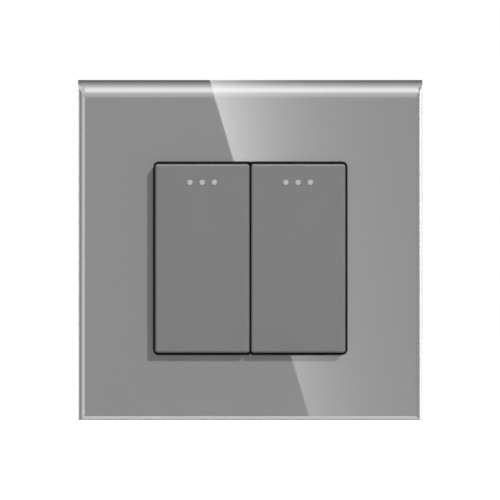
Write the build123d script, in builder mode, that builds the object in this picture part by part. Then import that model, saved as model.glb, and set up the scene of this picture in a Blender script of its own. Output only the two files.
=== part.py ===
from build123d import *
from math import cos, hypot, radians, sin
import os

# Double light switch: a glass-fronted wall plate with two large rockers, on a steel support
# plate that screws to a round wall box, with the switching mechanism in a housing behind it.
# Frame: X to the right, Z up, the front faces -Y. The wall is the plane Y = 0. The origin is
# the middle of the fixing slots, which is also the middle of the two rockers.
# A "height" below is a distance out of the wall towards the room, so behind the wall it is
# negative. All sizes are in millimetres.

# Front panel
panel_width = 86.0
panel_height = 85.0
glass_thickness = 5.0
window_drop = 2.07          # middle of the window below the middle of the panel
roll_width = 4.6            # the top edge of the glass is rolled over on one large arc
roll_radius = 5.0
bottom_width = 1.0          # the bottom edge has a narrower arc
bottom_radius = 1.2
side_arris = 1.7
blank_allowance = 1.0
window_arris = 0.2
tape_thickness = 0.4
tape_inset = 2.5
carrier_inset = 1.5
carrier_depth = 5.4
carrier_web = 1.6
carrier_wall = 1.6
carrier_corner = 1.5

# Window and rockers
window_width = 48.3
window_height = 48.1
window_corner = 1.2
rocker_side_gap = 0.4       # rocker to window, left and right
rocker_end_gap = 0.5        # rocker to window, above and below, where it swings
seam_gap = 0.4              # between the two rockers
rocker_proud = 2.0          # rocker face above the glass
rocker_depth = 6.6          # face to the lower edge of the skirt
rocker_wall = 1.4
rocker_edge = 0.55          # rounding of the face's edges
rocker_corner = 0.7
rocker_tilt = 4.0           # degrees, each way from level
pivot_depth = 6.0           # pivot axis behind the rocker face

# Marks on the rockers
dot_count = 3
dot_radius = 0.65
dot_pitch = 3.05
dot_depth = 0.6
dot_drop = 4.55             # from the rocker's top edge down to the row of dots
dot_clearance = 0.02

# Support plate
plate_gap_x = 4.4           # support plate to the carrier's wall, left and right
plate_gap_z = 1.83          # support plate to the carrier's wall at the bottom
plate_thickness = 1.0
plate_corner = 3.0
lip_length = 48.0           # stiffening lips along the top and bottom edges
lip_height = 1.6
relief_width = 1.2          # notches at both ends of each bend
relief_depth = 1.5
bend_radius = 0.8           # outside of the bends
slot_pitch = 60.3           # wall-box screws
slot_width = 4.0
slot_length = 7.0
cutout_clearance = 0.3
tongue_width = 8.0          # bent-up tongues that hold the panel carrier
tongue_height = 3.6
tongue_window_low = 1.4
tongue_window_high = 2.7
tongue_window_width = 4.6
hook_offset = 22.0          # hooks and tongues above and below the middle
hook_width = 3.8
hook_thickness = 1.2
hook_gap = 0.2
hook_reach = 0.9
hook_play = 0.1
hook_tip = 1.2
carrier_window = 49.5
rib_thickness = 1.0
rib_depth = 2.0
rib_gap = 0.7               # from the support plate's edge to the carrier's ribs
top_rib_count = 5
top_rib_pitch = 15.0
side_rib_count = 4
side_rib_pitch = 14.0
pry_width = 8.0             # notch for a screwdriver, to lever the panel off
pry_height = 1.4
pry_reach = 2.4

# Module frame
flange_width = 52.0
flange_height = 50.0
flange_thickness = 1.6
flange_corner = 2.0
rim_width = 1.2             # rim along the flange's edge
rim_height = 1.0
ear_thickness = 1.4
ear_radius = 2.3
ear_gap = 0.2               # cradle side to bearing ear
gusset_height = 2.4
gusset_reach = 2.0
trunnion_radius = 1.2
running_clearance = 0.05
arm_width = 6.0             # snap arms that carry the base housing
arm_thickness = 1.2
arm_length = 8.0
arm_gap = 0.15
arm_lead = 0.5              # chamfer that lets the arm ride over the catch
catch_width = 3.2
catch_reach = 1.0
catch_high = -3.6           # heights of the catch on the housing wall
catch_low = -5.4
catch_play = 0.3
screw_margin = 2.4          # module frame's screws: from the housing's side to their axis
screw_rise = 11.0           # and above and below the middle
screw_radius = 1.25
screw_hole_play = 0.15
screw_head_radius = 2.2
screw_head_height = 1.4
screw_length = 3.2
pad_size = 4.8
drive_slot_width = 0.7
drive_slot_depth = 0.7

# Cradle, plunger and spring of one rocker
cradle_width = 17.0
cradle_length = 30.0
cradle_plate = 2.0
cradle_cheek = 1.5
cradle_rib = 1.2
cradle_rib_depth = 2.0
cradle_rib_length = 27.0    # stops short of the cap's claws
trunnion_play = 0.1         # the trunnion's end past its bearing ear
tube_radius = 3.0
tube_end_height = 0.0
plunger_radius = 2.0
plunger_clearance = 0.1
plunger_play = 0.1          # tip to see-saw contact
nose_radius = 0.3
nose_length = 2.0
plunger_top_height = 4.5
spring_seat_depth = 1.0     # how far the spring's bore enters the cradle plate
spigot_radius = 1.0
spigot_length = 1.2
coil_radius = 1.5
wire_radius = 0.22
wire_sides = 4
coil_half_turns = 8
coil_end_gap = 0.02
tube_side_gap = 0.5         # beside the cradle's tube, where it passes the module frame
tube_swing_gap = 1.4        # above and below it, where it swings
claw_width = 6.0
claw_thickness = 1.2
claw_length = 3.2
claw_gap = 0.15
claw_reach = 0.7
claw_height = 0.8
cap_rib_offset = 4.5
cap_rib_depth = 1.4

# Contacts of one rocker
seesaw_height = -7.0        # pivot of the see-saw contact
seesaw_thickness = 1.0
seesaw_width = 5.0
seesaw_length = 20.0
seesaw_ratio = 1.5          # see-saw angle over rocker angle
lug_radius = 0.6            # lugs are round underneath, where they rock in the fork
lug_reach = 1.4
contact_offset = 8.5        # contacts above and below the pivot
tip_radius = 1.3
tip_thickness = 0.6
rivet_radius = 1.4
rivet_thickness = 1.0
closed_gap = 0.1
strip_thickness = 0.8
strip_width = 3.2
fork_thickness = 0.8        # fork that holds the see-saw's lugs
fork_gap = 0.3
fork_length = 3.2
fork_rise = 1.4             # fork above the pivot
notch_width = 1.5
notch_play = 0.15

# Terminals
terminal_width = 6.4
terminal_length = 7.0
terminal_depth = 10.6
terminal_offset = 3.9       # lower terminals left and right of the rocker's middle
terminal_clearance = 0.15
terminal_chamfer = 0.4
strip_overlap = 3.4
wire_bore_radius = 1.6
wire_bore_depth = 4.0       # bore axis behind the terminal's front face
clamp_radius = 1.2
clamp_hole_play = 0.05
clamp_inset = 1.9           # clamping screw from the terminal's inner end
clamp_length = 5.5
clamp_head_radius = 2.0
clamp_head_height = 1.5
clamp_clear = 0.3           # screw tip to wire bore, screw backed out

# Base housing
housing_width = 44.0
housing_height = 38.0
housing_depth = 25.0
housing_wall = 1.6
housing_corner = 2.0
back_chamfer = 0.8
stop_count = 3              # ribs down each side, which stop against the support plate
stop_pitch = 6.0
stop_reach = 0.8
stop_play = 0.1
chamber_width = 16.8
access_gap = 0.3            # around the clamping screws' heads
core_width = 5.4            # cored-out slots in the back
core_length = 17.0
core_depth = 10.0
core_pitch = 7.6

# Heights out of the wall
flange_back = plate_thickness
flange_front = flange_back + flange_thickness
glass_back = carrier_depth + tape_thickness
glass_face = glass_back + glass_thickness
rocker_face = glass_face + rocker_proud
rocker_skirt = rocker_face - rocker_depth
rocker_ceiling = rocker_face - rocker_wall
pivot_height = rocker_face - pivot_depth
cradle_back = rocker_ceiling - cradle_plate
seesaw_top = seesaw_height + seesaw_thickness
plunger_tip = seesaw_top + plunger_play
housing_back = flange_back - housing_depth

# Contacts: the fixed ones lie just past where the see-saw's tips reach
seesaw_tilt = radians(rocker_tilt * seesaw_ratio)
tip_drop = tip_thickness * cos(seesaw_tilt) + (contact_offset + tip_radius) * sin(seesaw_tilt)
rivet_face = seesaw_height - tip_drop - closed_gap
strip_front = rivet_face - rivet_thickness
chamber_floor = strip_front - strip_thickness
wire_height = chamber_floor - wire_bore_depth
terminal_back = chamber_floor - terminal_depth
terminal_inner = housing_height / 2 - terminal_length
terminal_middle = housing_height / 2 - terminal_length / 2
clamp_z = terminal_inner + clamp_inset
strip_end = terminal_inner + strip_overlap

# Places across the front
rocker_height = window_height - 2 * rocker_end_gap
rocker_width = (window_width - 2 * rocker_side_gap - seam_gap) / 2
gang_x = (rocker_width + seam_gap) / 2
gangs = {"left": -gang_x, "right": gang_x}
panel_top = window_drop + panel_height / 2
panel_bottom = window_drop - panel_height / 2
carrier_width = panel_width - 2 * carrier_inset
carrier_height = panel_height - 2 * carrier_inset
tray_width = carrier_width - 2 * carrier_wall
tray_height = carrier_height - 2 * carrier_wall
plate_width = tray_width - 2 * plate_gap_x
plate_height = tray_height - 2 * (window_drop + plate_gap_z)
screw_x = housing_width / 2 + screw_margin
ear_inner = cradle_width / 2 + ear_gap
arm_middle = housing_height / 2 + arm_gap + arm_thickness / 2
terminals = {"upper": (0.0, 1), "lower": (-terminal_offset, -1), "common": (terminal_offset, -1)}

os.makedirs("parts", exist_ok=True)


def front(height):
    """Sketch plane parallel to the wall at this height, seen from the room."""
    return Plane.XZ.offset(height)


def side(x):
    """Sketch plane square to the wall: its x is the height, its y is Z. It faces -X."""
    return Plane(origin=(x, 0, 0), x_dir=(0, -1, 0), z_dir=(-1, 0, 0))


# The glass panel. A blank longer and deeper than the panel has an arc along its top and bottom
# edges. Crossed with the panel's plan, which has the side edges' rounding, it has square corners.
blank_top = panel_top - roll_width + roll_radius
blank_bottom = panel_bottom + bottom_width - bottom_radius
blank_back = min(glass_back, glass_face - roll_radius) - blank_allowance
with BuildPart() as glass_panel:
    with BuildSketch(side(0)):
        with BuildLine():
            Line((glass_face, panel_bottom + bottom_width), (glass_face, panel_top - roll_width))
            CenterArc((glass_face - roll_radius, panel_top - roll_width), roll_radius, 0, 90)
            CenterArc((glass_face - bottom_radius, panel_bottom + bottom_width), bottom_radius, 0, -90)
            Polyline(
                (glass_face - roll_radius, blank_top),
                (blank_back, blank_top),
                (blank_back, blank_bottom),
                (glass_face - bottom_radius, blank_bottom),
            )
        make_face()
    extrude(amount=panel_width / 2, both=True)
    with BuildSketch(Plane.XY.offset(panel_bottom)) as plan:
        with Locations((0, -(glass_back + glass_face) / 2)):
            Rectangle(panel_width, glass_thickness)
        fillet(plan.vertices().sort_by(Axis.Y)[:2], side_arris)
    extrude(amount=panel_height, mode=Mode.INTERSECT)
    with BuildSketch(front(glass_back)):
        RectangleRounded(window_width, window_height, window_corner)
    extrude(amount=glass_thickness, mode=Mode.SUBTRACT)
    window_rim = glass_panel.faces().sort_by(Axis.Y)[0].inner_wires()[0].edges()
    chamfer(window_rim, window_arris)
glass_panel.part.label = "glass_panel"
export_step(glass_panel.part, "parts/glass_panel.step")

# The double-sided foam tape that bonds the glass to its carrier.
with BuildPart() as bonding_tape:
    with BuildSketch(front(carrier_depth)):
        with Locations((0, window_drop)):
            Rectangle(panel_width - 2 * tape_inset, panel_height - 2 * tape_inset)
        Rectangle(
            window_width + 2 * tape_inset,
            window_height + 2 * tape_inset,
            mode=Mode.SUBTRACT,
        )
    extrude(amount=tape_thickness)
bonding_tape.part.label = "bonding_tape"
export_step(bonding_tape.part, "parts/bonding_tape.step")

# The panel carrier: a moulded tray open to the wall, with ribs, a window and four hooks.
with BuildPart() as panel_carrier:
    with BuildSketch(front(0)):
        with Locations((0, window_drop)):
            RectangleRounded(carrier_width, carrier_height, carrier_corner)
    extrude(amount=carrier_depth)
    tray_depth = carrier_depth - carrier_web
    with BuildSketch(front(0)):
        with Locations((0, window_drop)):
            Rectangle(tray_width, tray_height)
    extrude(amount=tray_depth, mode=Mode.SUBTRACT)
    with BuildSketch(front(tray_depth)):
        RectangleRounded(carrier_window, carrier_window, window_corner)
    extrude(amount=carrier_web, mode=Mode.SUBTRACT)
    # short ribs between the outer wall and the support plate's edge
    top_rib_length = window_drop + (tray_height - plate_height) / 2 - rib_gap
    side_rib_length = (tray_width - plate_width) / 2 - rib_gap
    with BuildSketch(front(tray_depth)):
        with Locations((0, window_drop + (tray_height - top_rib_length) / 2)):
            with GridLocations(top_rib_pitch, 0, top_rib_count, 1):
                Rectangle(rib_thickness, top_rib_length)
        with GridLocations(tray_width - side_rib_length, side_rib_pitch, 2, side_rib_count):
            Rectangle(side_rib_length, rib_thickness)
    extrude(amount=-rib_depth)
    # hooks that snap into the support plate's tongues
    hook_inner = plate_width / 2 + hook_gap
    hook_outer = hook_inner + hook_thickness
    barb_high = tongue_window_high - hook_play
    for hook_z in (-hook_offset, hook_offset):
        for hand in (-1, 1):
            with BuildSketch(Plane.XY.offset(hook_z)):
                with BuildLine():
                    Polyline(
                        (hand * hook_inner, -tray_depth),
                        (hand * hook_outer, -tray_depth),
                        (hand * hook_outer, -hook_tip),
                        (hand * hook_inner, -hook_tip),
                        (hand * (hook_inner - hook_reach), -(hook_tip + hook_reach)),
                        (hand * (hook_inner - hook_reach), -barb_high),
                        (hand * hook_inner, -barb_high),
                        close=True,
                    )
                make_face()
            extrude(amount=hook_width / 2, both=True)
    # notch in the bottom wall for a screwdriver's blade
    with BuildSketch(front(0)):
        with Locations((0, window_drop - carrier_height / 2)):
            Rectangle(pry_width, 2 * pry_reach)
    extrude(amount=pry_height, mode=Mode.SUBTRACT)
panel_carrier.part.label = "panel_carrier"
export_step(panel_carrier.part, "parts/panel_carrier.step")

# The steel support plate, pressed from sheet, with lips and bent-up tongues.
with BuildPart() as support_plate:
    with BuildSketch(front(0)):
        RectangleRounded(plate_width, plate_height, plate_corner)
        Rectangle(
            housing_width + 2 * cutout_clearance,
            housing_height + 2 * cutout_clearance,
            mode=Mode.SUBTRACT,
        )
        # bays where the snap arms pass
        bay_height = 2 * (arm_middle + arm_thickness / 2 + cutout_clearance)
        with Locations(*[(x, 0) for x in gangs.values()]):
            Rectangle(arm_width + 2 * cutout_clearance, bay_height, mode=Mode.SUBTRACT)
        with GridLocations(slot_pitch, 0, 2, 1):
            SlotOverall(slot_length, slot_width, mode=Mode.SUBTRACT)
        with GridLocations(0, slot_pitch, 1, 2):
            SlotOverall(slot_length, slot_width, rotation=90, mode=Mode.SUBTRACT)
        with GridLocations(2 * screw_x, 2 * screw_rise, 2, 2):
            Circle(screw_radius + screw_hole_play, mode=Mode.SUBTRACT)
        # relief notches at both ends of the lips and tongues
        with GridLocations(lip_length + relief_width, plate_height, 2, 2):
            Rectangle(relief_width, 2 * relief_depth, mode=Mode.SUBTRACT)
        relief_offset = (tongue_width + relief_width) / 2
        for relief_z in (hook_offset - relief_offset, hook_offset + relief_offset):
            with GridLocations(plate_width, 2 * relief_z, 2, 2):
                Rectangle(2 * relief_depth, relief_width, mode=Mode.SUBTRACT)
    extrude(amount=plate_thickness)
    with BuildSketch(front(plate_thickness)):
        with GridLocations(0, plate_height - plate_thickness, 1, 2):
            Rectangle(lip_length, plate_thickness)
    extrude(amount=lip_height)
    with BuildSketch(front(plate_thickness)):
        with GridLocations(plate_width - plate_thickness, 2 * hook_offset, 2, 2):
            Rectangle(plate_thickness, tongue_width)
    extrude(amount=tongue_height - plate_thickness)
    tongue_window_height = tongue_window_high - tongue_window_low
    with BuildSketch(side(0)):
        with Locations((tongue_window_low + tongue_window_height / 2, 0)):
            with GridLocations(0, 2 * hook_offset, 1, 2):
                Rectangle(tongue_window_height, tongue_window_width)
    extrude(amount=plate_width, both=True, mode=Mode.SUBTRACT)
    # the outside of each bend is round: one lip above and below, two tongues on each side
    back_edges = support_plate.faces().sort_by(Axis.Y)[-1].edges()
    for outermost in (0, -1):
        lip_row = back_edges.filter_by(Axis.X).group_by(Axis.Z)[outermost].sort_by(Axis.X)
        tongue_row = back_edges.filter_by(Axis.Z).group_by(Axis.X)[outermost].sort_by(Axis.Z)
        fillet([lip_row[1], tongue_row[1], tongue_row[3]], bend_radius)
support_plate.part.label = "support_plate"
export_step(support_plate.part, "parts/support_plate.step")

# The module frame: a flange on the support plate, bearing ears for the rockers in front,
# and snap arms for the base housing behind.
with BuildPart() as module_frame:
    with BuildSketch(front(flange_back)):
        RectangleRounded(flange_width, flange_height, flange_corner)
        with GridLocations(2 * screw_x, 2 * screw_rise, 2, 2):
            Rectangle(pad_size, pad_size)
        # openings for the cradle tubes, longer the way they swing
        with GridLocations(2 * gang_x, 0, 2, 1):
            Rectangle(
                2 * (tube_radius + tube_side_gap),
                2 * (tube_radius + tube_swing_gap),
                mode=Mode.SUBTRACT,
            )
    extrude(amount=flange_thickness)
    # a rim along the flange's edge, and a pad at each screw
    with BuildSketch(front(flange_front)):
        RectangleRounded(flange_width, flange_height, flange_corner)
        Rectangle(flange_width - 2 * rim_width, flange_height - 2 * rim_width, mode=Mode.SUBTRACT)
        with GridLocations(2 * screw_x, 2 * screw_rise, 2, 2):
            Rectangle(pad_size, pad_size)
    extrude(amount=rim_height)
    with BuildSketch(front(flange_back)):
        with GridLocations(2 * screw_x, 2 * screw_rise, 2, 2):
            Circle(screw_radius + running_clearance)
    extrude(amount=screw_length - plate_thickness + running_clearance, mode=Mode.SUBTRACT)
    # two bearing ears for each rocker
    for gang in gangs.values():
        for ear_near in (gang - ear_inner, gang + ear_inner + ear_thickness):
            with BuildSketch(side(ear_near)):
                with Locations(((flange_front + pivot_height) / 2, 0)):
                    Rectangle(pivot_height - flange_front, 2 * ear_radius)
                with Locations((pivot_height, 0)):
                    Circle(ear_radius)
                    Circle(trunnion_radius + running_clearance, mode=Mode.SUBTRACT)
            extrude(amount=ear_thickness)
    # gussets outside the outer ears, and a web between the two inner ones
    ear_outer = gang_x + ear_inner + ear_thickness
    with BuildSketch(Plane.XY):
        with BuildLine():
            Polyline(
                (ear_outer, -flange_front),
                (ear_outer + gusset_reach, -flange_front),
                (ear_outer, -(flange_front + gusset_height)),
                close=True,
            )
        make_face()
        mirror(about=Plane.YZ)
        with Locations((0, -(flange_front + gusset_height / 2))):
            Rectangle(2 * (gang_x - ear_inner), gusset_height)
    extrude(amount=rib_thickness / 2, both=True)
    # snap arms above and below, each with a window for the housing's catch
    with BuildSketch(front(flange_back)):
        with GridLocations(2 * gang_x, 2 * arm_middle, 2, 2):
            Rectangle(arm_width, arm_thickness)
    extrude(amount=-arm_length)
    for arm_end in module_frame.faces().sort_by(Axis.Y)[-4:]:
        long_edges = arm_end.edges().filter_by(Axis.X)
        chamfer(long_edges.sort_by(lambda edge: abs(edge.center().Z))[0], arm_lead)
    arm_window_high = catch_high + catch_play
    arm_window_low = catch_low - catch_play
    with BuildSketch(Plane.XY):
        with Locations((0, -(arm_window_high + arm_window_low) / 2)):
            with GridLocations(2 * gang_x, 0, 2, 1):
                Rectangle(catch_width + 2 * catch_play, arm_window_high - arm_window_low)
    extrude(amount=housing_height, both=True, mode=Mode.SUBTRACT)
module_frame.part.label = "module_frame"
export_step(module_frame.part, "parts/module_frame.step")

# The screws that hold the module frame, put in from behind the support plate.
with BuildPart() as plate_screws:
    with BuildSketch(front(0)):
        with GridLocations(2 * screw_x, 2 * screw_rise, 2, 2):
            Circle(screw_head_radius)
    extrude(amount=-screw_head_height)
    with BuildSketch(front(0)):
        with GridLocations(2 * screw_x, 2 * screw_rise, 2, 2):
            Circle(screw_radius)
    extrude(amount=screw_length)
    with BuildSketch(front(-screw_head_height)):
        with GridLocations(2 * screw_x, 2 * screw_rise, 2, 2):
            Rectangle(2 * screw_head_radius, drive_slot_width)
    extrude(amount=drive_slot_depth, mode=Mode.SUBTRACT)
plate_screws.part.label = "plate_screws"
export_step(plate_screws.part, "parts/plate_screws.step")

# The base housing, moulded with an open chamber for each rocker's contacts, pockets for the
# terminals that open at the ends, and slots cored out of the back.
with BuildPart() as base_housing:
    with BuildSketch(front(flange_back)) as housing_outline:
        Rectangle(housing_width, housing_height)
        chamfer(housing_outline.vertices(), housing_corner)
    extrude(amount=-housing_depth)
    chamfer(base_housing.faces().sort_by(Axis.Y)[-1].edges(), back_chamfer)
    # the two chambers, and a cored slot between them
    with BuildSketch(front(flange_back)):
        with GridLocations(2 * gang_x, 0, 2, 1):
            Rectangle(chamber_width, housing_height - 2 * housing_wall)
        middle_width = 2 * (gang_x - chamber_width / 2 - housing_wall)
        Rectangle(middle_width, housing_height - 2 * housing_wall)
    extrude(amount=chamber_floor - flange_back, mode=Mode.SUBTRACT)
    with BuildSketch(front(chamber_floor)):
        for gang in gangs.values():
            for offset_x, end in terminals.values():
                with Locations((gang + offset_x, end * terminal_middle)):
                    Rectangle(
                        terminal_width + 2 * terminal_clearance,
                        terminal_length + 2 * terminal_clearance,
                    )
    extrude(amount=-(terminal_depth + terminal_clearance), mode=Mode.SUBTRACT)
    # access to the clamping screws from behind
    with BuildSketch(front(housing_back)):
        for gang in gangs.values():
            with Locations(*[(gang + x, end * clamp_z) for x, end in terminals.values()]):
                Circle(clamp_head_radius + access_gap)
    extrude(amount=terminal_back - housing_back, mode=Mode.SUBTRACT)
    with BuildSketch(front(housing_back)):
        with GridLocations(2 * gang_x, 0, 2, 1):
            with GridLocations(core_pitch, 0, 2, 1):
                Rectangle(core_width, core_length)
        Rectangle(core_width, core_length)
    extrude(amount=core_depth, mode=Mode.SUBTRACT)
    # ribs down both sides, which stop against the back of the support plate
    with BuildSketch(front(-stop_play)):
        with GridLocations(housing_width, stop_pitch, 2, stop_count):
            Rectangle(2 * stop_reach, rib_thickness)
    extrude(amount=housing_back + back_chamfer + stop_play)
    # catches for the snap arms
    for gang in gangs.values():
        for end in (-1, 1):
            with BuildSketch(side(gang)):
                with BuildLine():
                    Polyline(
                        (catch_high, end * housing_height / 2),
                        (catch_low, end * (housing_height / 2 + catch_reach)),
                        (catch_low, end * housing_height / 2),
                        close=True,
                    )
                make_face()
            extrude(amount=catch_width / 2, both=True)
base_housing.part.label = "base_housing"
export_step(base_housing.part, "parts/base_housing.step")


def make_rocker(gang):
    """Rocker cap: a hollow cap with ribs, seats for the dots and claws for the cradle."""
    inner_height = rocker_height - 2 * rocker_wall
    claw_inner = cradle_length / 2 + claw_gap
    with BuildPart() as rocker:
        with BuildSketch(front(rocker_skirt)):
            with Locations((gang, 0)):
                RectangleRounded(rocker_width, rocker_height, rocker_corner)
        extrude(amount=rocker_depth)
        fillet(rocker.faces().sort_by(Axis.Y)[0].edges(), rocker_edge)
        with BuildSketch(front(rocker_skirt)):
            with Locations((gang, 0)):
                Rectangle(rocker_width - 2 * rocker_wall, inner_height)
        extrude(amount=rocker_depth - rocker_wall, mode=Mode.SUBTRACT)
        # stiffening ribs on the ceiling beyond the claws
        rib_inner = claw_inner + claw_thickness
        rib_length = inner_height / 2 - rib_inner
        with BuildSketch(front(rocker_ceiling)):
            with Locations((gang, 0)):
                with GridLocations(2 * cap_rib_offset, 2 * rib_inner + rib_length, 2, 2):
                    Rectangle(rib_thickness, rib_length)
        extrude(amount=-cap_rib_depth)
        # two claws that grip the cradle's plate
        for end in (-1, 1):
            with BuildSketch(side(gang)):
                with BuildLine():
                    barb_back = rocker_ceiling - claw_length
                    barb_front = cradle_back - claw_gap
                    Polyline(
                        (rocker_ceiling, end * claw_inner),
                        (rocker_ceiling, end * (claw_inner + claw_thickness)),
                        (barb_back, end * (claw_inner + claw_thickness)),
                        (barb_back, end * claw_inner),
                        (barb_front - claw_height / 2, end * (claw_inner - claw_reach)),
                        (barb_front, end * (claw_inner - claw_reach)),
                        (barb_front, end * claw_inner),
                        close=True,
                    )
                make_face()
            extrude(amount=claw_width / 2, both=True)
        with BuildSketch(front(rocker_face)):
            with Locations((gang, rocker_height / 2 - dot_drop)):
                with GridLocations(dot_pitch, 0, dot_count, 1):
                    Circle(dot_radius + dot_clearance)
        extrude(amount=-dot_depth, mode=Mode.SUBTRACT)
    return rocker


def make_dots(gang):
    """Translucent pips set flush in the rocker's face."""
    with BuildPart() as dots:
        with BuildSketch(front(rocker_face)):
            with Locations((gang, rocker_height / 2 - dot_drop)):
                with GridLocations(dot_pitch, 0, dot_count, 1):
                    Circle(dot_radius)
        extrude(amount=-dot_depth)
    return dots


def make_cradle(gang):
    """Cradle under the cap: a ribbed plate, two cheeks with trunnions and the plunger's tube."""
    with BuildPart() as cradle:
        with BuildSketch(front(cradle_back)):
            with Locations((gang, 0)):
                Rectangle(cradle_width, cradle_length)
        extrude(amount=cradle_plate)
        with BuildSketch(front(cradle_back)):
            with Locations((gang, 0)):
                Rectangle(cradle_rib, cradle_rib_length)
                Rectangle(cradle_width, cradle_rib)
        extrude(amount=-cradle_rib_depth)
        with BuildSketch(front(cradle_back)):
            with Locations((gang, 0)):
                Circle(tube_radius)
        extrude(amount=tube_end_height - cradle_back)
        # cheeks, rounded about the pivot
        for cheek_near in (gang - cradle_width / 2 + cradle_cheek, gang + cradle_width / 2):
            with BuildSketch(side(cheek_near)):
                with Locations(((cradle_back + pivot_height) / 2, 0)):
                    Rectangle(cradle_back - pivot_height, 2 * ear_radius)
                with Locations((pivot_height, 0)):
                    Circle(ear_radius)
            extrude(amount=cradle_cheek)
        # trunnions from the cheeks out through the bearing ears
        trunnion_length = ear_gap + ear_thickness + trunnion_play
        for trunnion_near in (gang - cradle_width / 2, gang + cradle_width / 2 + trunnion_length):
            with BuildSketch(side(trunnion_near)):
                with Locations((pivot_height, 0)):
                    Circle(trunnion_radius)
            extrude(amount=trunnion_length)
        with BuildSketch(front(tube_end_height)):
            with Locations((gang, 0)):
                Circle(plunger_radius + plunger_clearance)
        extrude(amount=cradle_back + spring_seat_depth - tube_end_height, mode=Mode.SUBTRACT)
    return cradle


def make_plunger(gang):
    """Plunger: a pin with a tapered nose and a spigot that centres its spring."""
    with BuildPart() as plunger:
        with BuildSketch(side(gang)):
            with BuildLine():
                Polyline(
                    (plunger_tip, 0),
                    (plunger_tip, nose_radius),
                    (plunger_tip + nose_length, plunger_radius),
                    (plunger_top_height, plunger_radius),
                    (plunger_top_height, spigot_radius),
                    (plunger_top_height + spigot_length, spigot_radius),
                    (plunger_top_height + spigot_length, 0),
                    close=True,
                )
            make_face()
        revolve(axis=Axis((gang, 0, 0), (0, -1, 0)))
    return plunger


def make_spring(gang):
    """Plunger spring: one wire wound in half turns, tilted to and fro so that they climb."""
    end_space = wire_radius + coil_end_gap
    coil_length = cradle_back + spring_seat_depth - plunger_top_height - 2 * end_space
    climb = coil_length / coil_half_turns
    half_turn_radius = hypot(coil_radius, climb / 2)
    with BuildPart() as spring:
        with BuildLine() as coil:
            for turn in range(coil_half_turns):
                hand = 1 if turn % 2 else -1
                start = plunger_top_height + end_space + turn * climb
                ThreePointArc(
                    (gang + hand * coil_radius, -start, 0),
                    (gang, -(start + climb / 2), hand * half_turn_radius),
                    (gang - hand * coil_radius, -(start + climb), 0),
                )
        with BuildSketch(Plane(origin=coil.line @ 0, z_dir=coil.line % 0)):
            RegularPolygon(wire_radius, wire_sides)
        sweep()
    return spring


def make_seesaw(gang):
    """See-saw contact: a brass blade along Z with a lug at each side of its pivot."""
    with BuildPart() as seesaw:
        with BuildSketch(front(seesaw_height)):
            with Locations((gang, 0)):
                Rectangle(seesaw_width, seesaw_length)
                Rectangle(seesaw_width + 2 * lug_reach, 2 * lug_radius)
        extrude(amount=seesaw_thickness)
        for lug_near in (gang - seesaw_width / 2, gang + seesaw_width / 2 + lug_reach):
            with BuildSketch(side(lug_near)):
                with Locations((seesaw_height, 0)):
                    Circle(lug_radius)
            extrude(amount=lug_reach)
    return seesaw


def make_tips(gang):
    """Silver contact tips under both ends of the see-saw."""
    with BuildPart() as tips:
        with BuildSketch(front(seesaw_height)):
            with Locations((gang, 0)):
                with GridLocations(0, 2 * contact_offset, 1, 2):
                    Circle(tip_radius)
        extrude(amount=-tip_thickness)
    return tips


def make_rivets(gang):
    """Silver heads of the fixed contacts, opposite the see-saw's tips."""
    with BuildPart() as rivets:
        with BuildSketch(front(strip_front)):
            with Locations((gang, 0)):
                with GridLocations(0, 2 * contact_offset, 1, 2):
                    Circle(rivet_radius)
        extrude(amount=rivet_thickness)
    return rivets


def make_upper_contact(gang):
    """Brass strip from the upper fixed contact to the upper terminal."""
    strip_start = contact_offset - strip_width / 2
    with BuildPart() as strip:
        with BuildSketch(front(strip_front)):
            with Locations((gang, (strip_start + strip_end) / 2)):
                Rectangle(strip_width, strip_end - strip_start)
        extrude(amount=-strip_thickness)
    return strip


def make_lower_contact(gang):
    """Brass strip from the lower fixed contact, sideways and down to the lower terminal."""
    strip_start = contact_offset - strip_width / 2
    outer_edge = gang - terminal_offset - strip_width / 2
    inner_edge = gang + strip_width / 2
    with BuildPart() as strip:
        with BuildSketch(front(strip_front)):
            with BuildLine():
                Polyline(
                    (inner_edge, -strip_start),
                    (outer_edge, -strip_start),
                    (outer_edge, -strip_end),
                    (outer_edge + strip_width, -strip_end),
                    (outer_edge + strip_width, -(strip_start + strip_width)),
                    (inner_edge, -(strip_start + strip_width)),
                    close=True,
                )
            make_face()
        extrude(amount=-strip_thickness)
    return strip


def make_common_bracket(gang):
    """Brass bracket: a fork that carries the see-saw's lugs, and a leg to the common terminal."""
    fork_inner = seesaw_width / 2 + fork_gap
    fork_outer = fork_inner + fork_thickness
    leg_inner = gang + terminal_offset - strip_width / 2 + fork_gap
    leg_outer = gang + terminal_offset + strip_width / 2 + fork_gap
    fork_top = seesaw_height + fork_rise
    notch_floor = seesaw_height - lug_radius - notch_play
    with BuildPart() as bracket:
        with BuildSketch(front(strip_front)):
            with BuildLine():
                Polyline(
                    (gang - fork_outer, fork_length / 2),
                    (leg_outer, fork_length / 2),
                    (leg_outer, -strip_end),
                    (leg_inner, -strip_end),
                    (leg_inner, -fork_length / 2),
                    (gang - fork_outer, -fork_length / 2),
                    close=True,
                )
            make_face()
        extrude(amount=-strip_thickness)
        for fork_near in (gang - fork_inner, gang + fork_outer):
            with BuildSketch(side(fork_near)):
                with Locations(((strip_front + fork_top) / 2, 0)):
                    Rectangle(fork_top - strip_front, fork_length)
                with Locations(((notch_floor + fork_top) / 2, 0)):
                    Rectangle(fork_top - notch_floor, notch_width, mode=Mode.SUBTRACT)
            extrude(amount=fork_thickness)
    return bracket


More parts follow.
